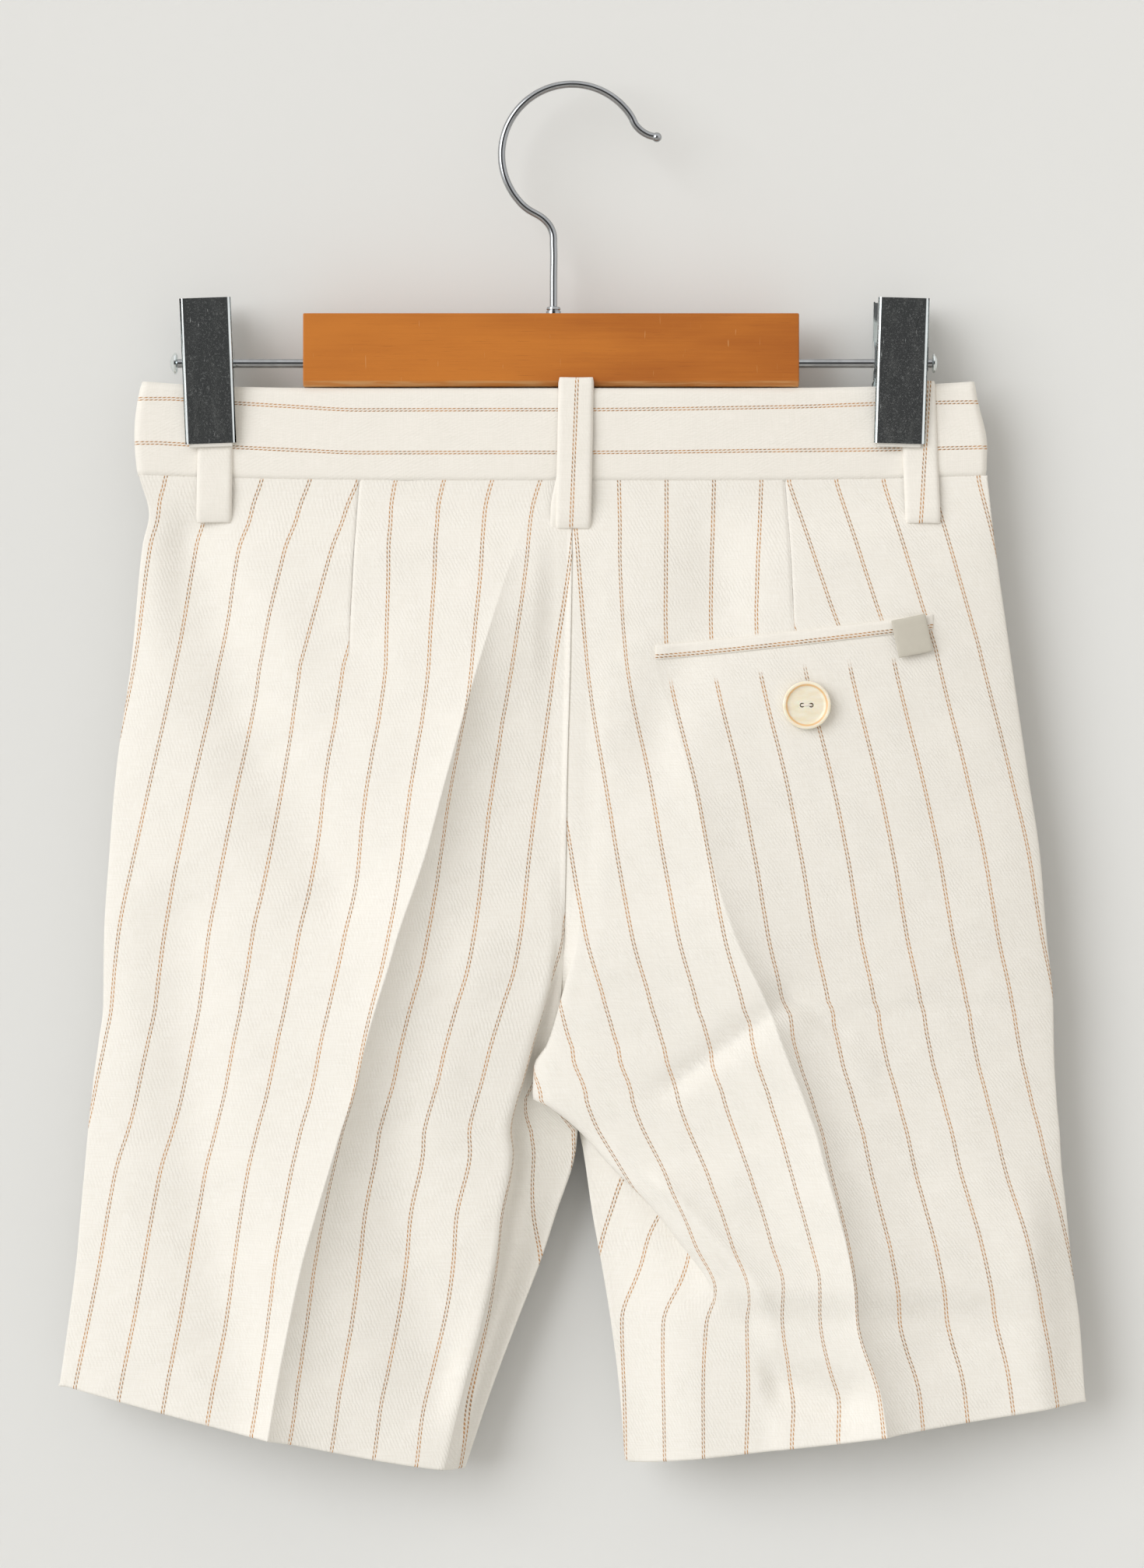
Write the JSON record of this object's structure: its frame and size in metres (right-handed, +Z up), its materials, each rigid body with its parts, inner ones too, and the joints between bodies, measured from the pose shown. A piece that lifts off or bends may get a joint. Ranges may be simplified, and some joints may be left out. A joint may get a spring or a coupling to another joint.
{
  "type": "bermuda shorts on a clip hanger",
  "caption": "Pinstriped bermuda shorts with pressed creases and a buttoned welt pocket, held flat at the waistband by the clips of a wooden hanger with a metal hook.",
  "frame": {"origin": "inside top of the hanger's hook, where it hangs on a rail", "axes": "+Z up, +X to the right of the back view, the back of the shorts faces -Y"},
  "size_m": [0.3436, 0.0417, 0.4642],
  "materials": {
    "striped_cloth": "matte ivory twill with fine double tan pinstripes",
    "band_cloth": "matte ivory twill, folded and pressed",
    "tab_cloth": "matte woven tab, bare",
    "button_resin": "satin cream with an amber rim",
    "bar_wood": "satin lacquered, warm brown",
    "hanger_chrome": "polished, with fine scratches",
    "clip_pad": "matte pale pad"
  },
  "bodies": {
    "root": {"back_left": "striped_cloth", "back_right": "striped_cloth", "front_left": "striped_cloth", "front_right": "striped_cloth", "waistband_left": "band_cloth", "waistband_right": "band_cloth", "belt_loop_back": "band_cloth", "belt_loop_left": "band_cloth", "belt_loop_right": "band_cloth", "belt_loop_front_left": "band_cloth", "belt_loop_front_right": "band_cloth", "pocket_welt": "band_cloth", "fly": "band_cloth", "label_tab": "tab_cloth", "pocket_button": "button_resin", "waist_button": "button_resin", "wood_bar": "bar_wood", "hook": "hanger_chrome", "hook_nut": "hanger_chrome", "clip_left_back_view_plate": "hanger_chrome", "clip_left_far_plate": "hanger_chrome", "clip_left_spring": "hanger_chrome", "rod_left": "hanger_chrome", "rod_cap_left": "hanger_chrome", "clip_left_pad": "clip_pad", "clip_left_far_pad": "clip_pad", "clip_right_back_view_plate": "hanger_chrome", "clip_right_far_plate": "hanger_chrome", "clip_right_spring": "hanger_chrome", "rod_right": "hanger_chrome", "rod_cap_right": "hanger_chrome", "clip_right_pad": "clip_pad", "clip_right_far_pad": "clip_pad"}
  },
  "joints": []
}
